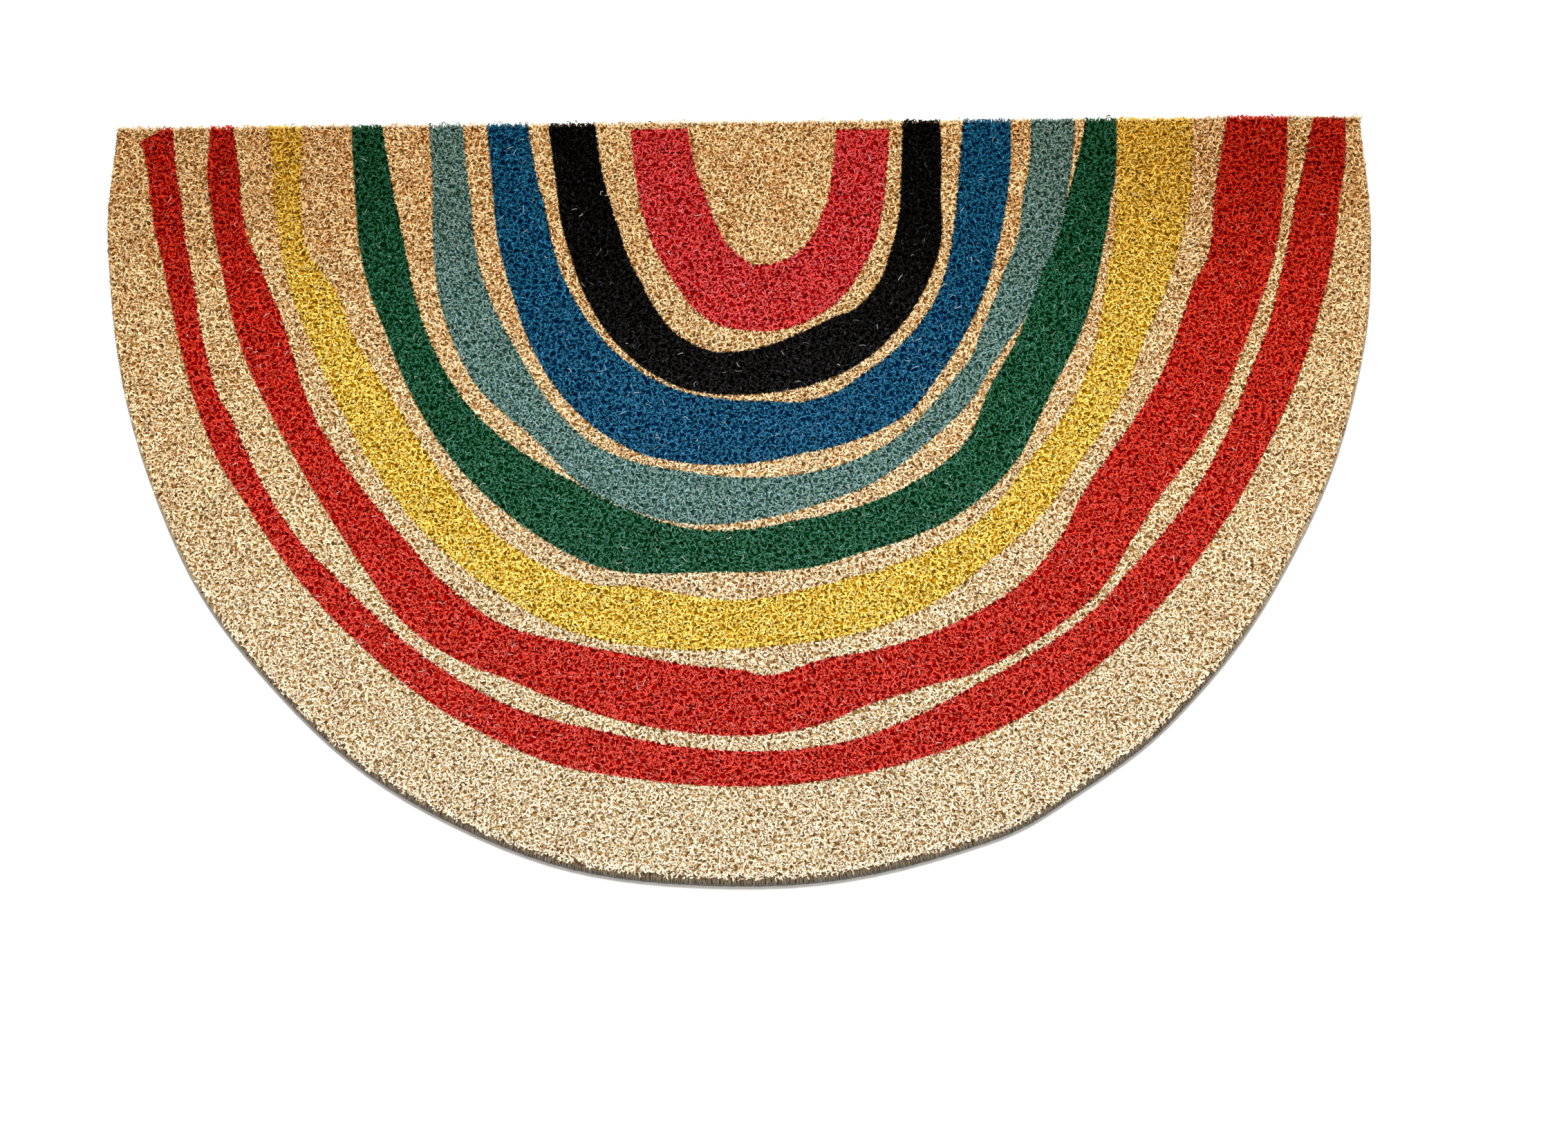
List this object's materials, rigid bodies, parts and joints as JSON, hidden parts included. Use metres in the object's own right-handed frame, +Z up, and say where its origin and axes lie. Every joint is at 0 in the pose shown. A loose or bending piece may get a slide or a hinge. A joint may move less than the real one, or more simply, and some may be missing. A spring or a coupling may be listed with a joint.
{
  "type": "half-round coir doormat",
  "caption": "Flat half-round coir doormat with a bristle pile on a thin backing sheet, printed with uneven nested arches in several colours.",
  "frame": {"origin": "middle of the underside's bounding box, on the floor", "axes": "+X to the mat's right along the straight back edge, +Y towards the straight back edge, +Z up out of the pile"},
  "size_m": [0.75, 0.45, 0.015],
  "materials": {
    "backing": "matt grey PVC sheet, finely pitted",
    "coir": "coarse upright coir bristles, natural tan with dyed arches"
  },
  "bodies": {
    "root": {"backing": "backing", "coir_pile": "coir"}
  },
  "joints": []
}
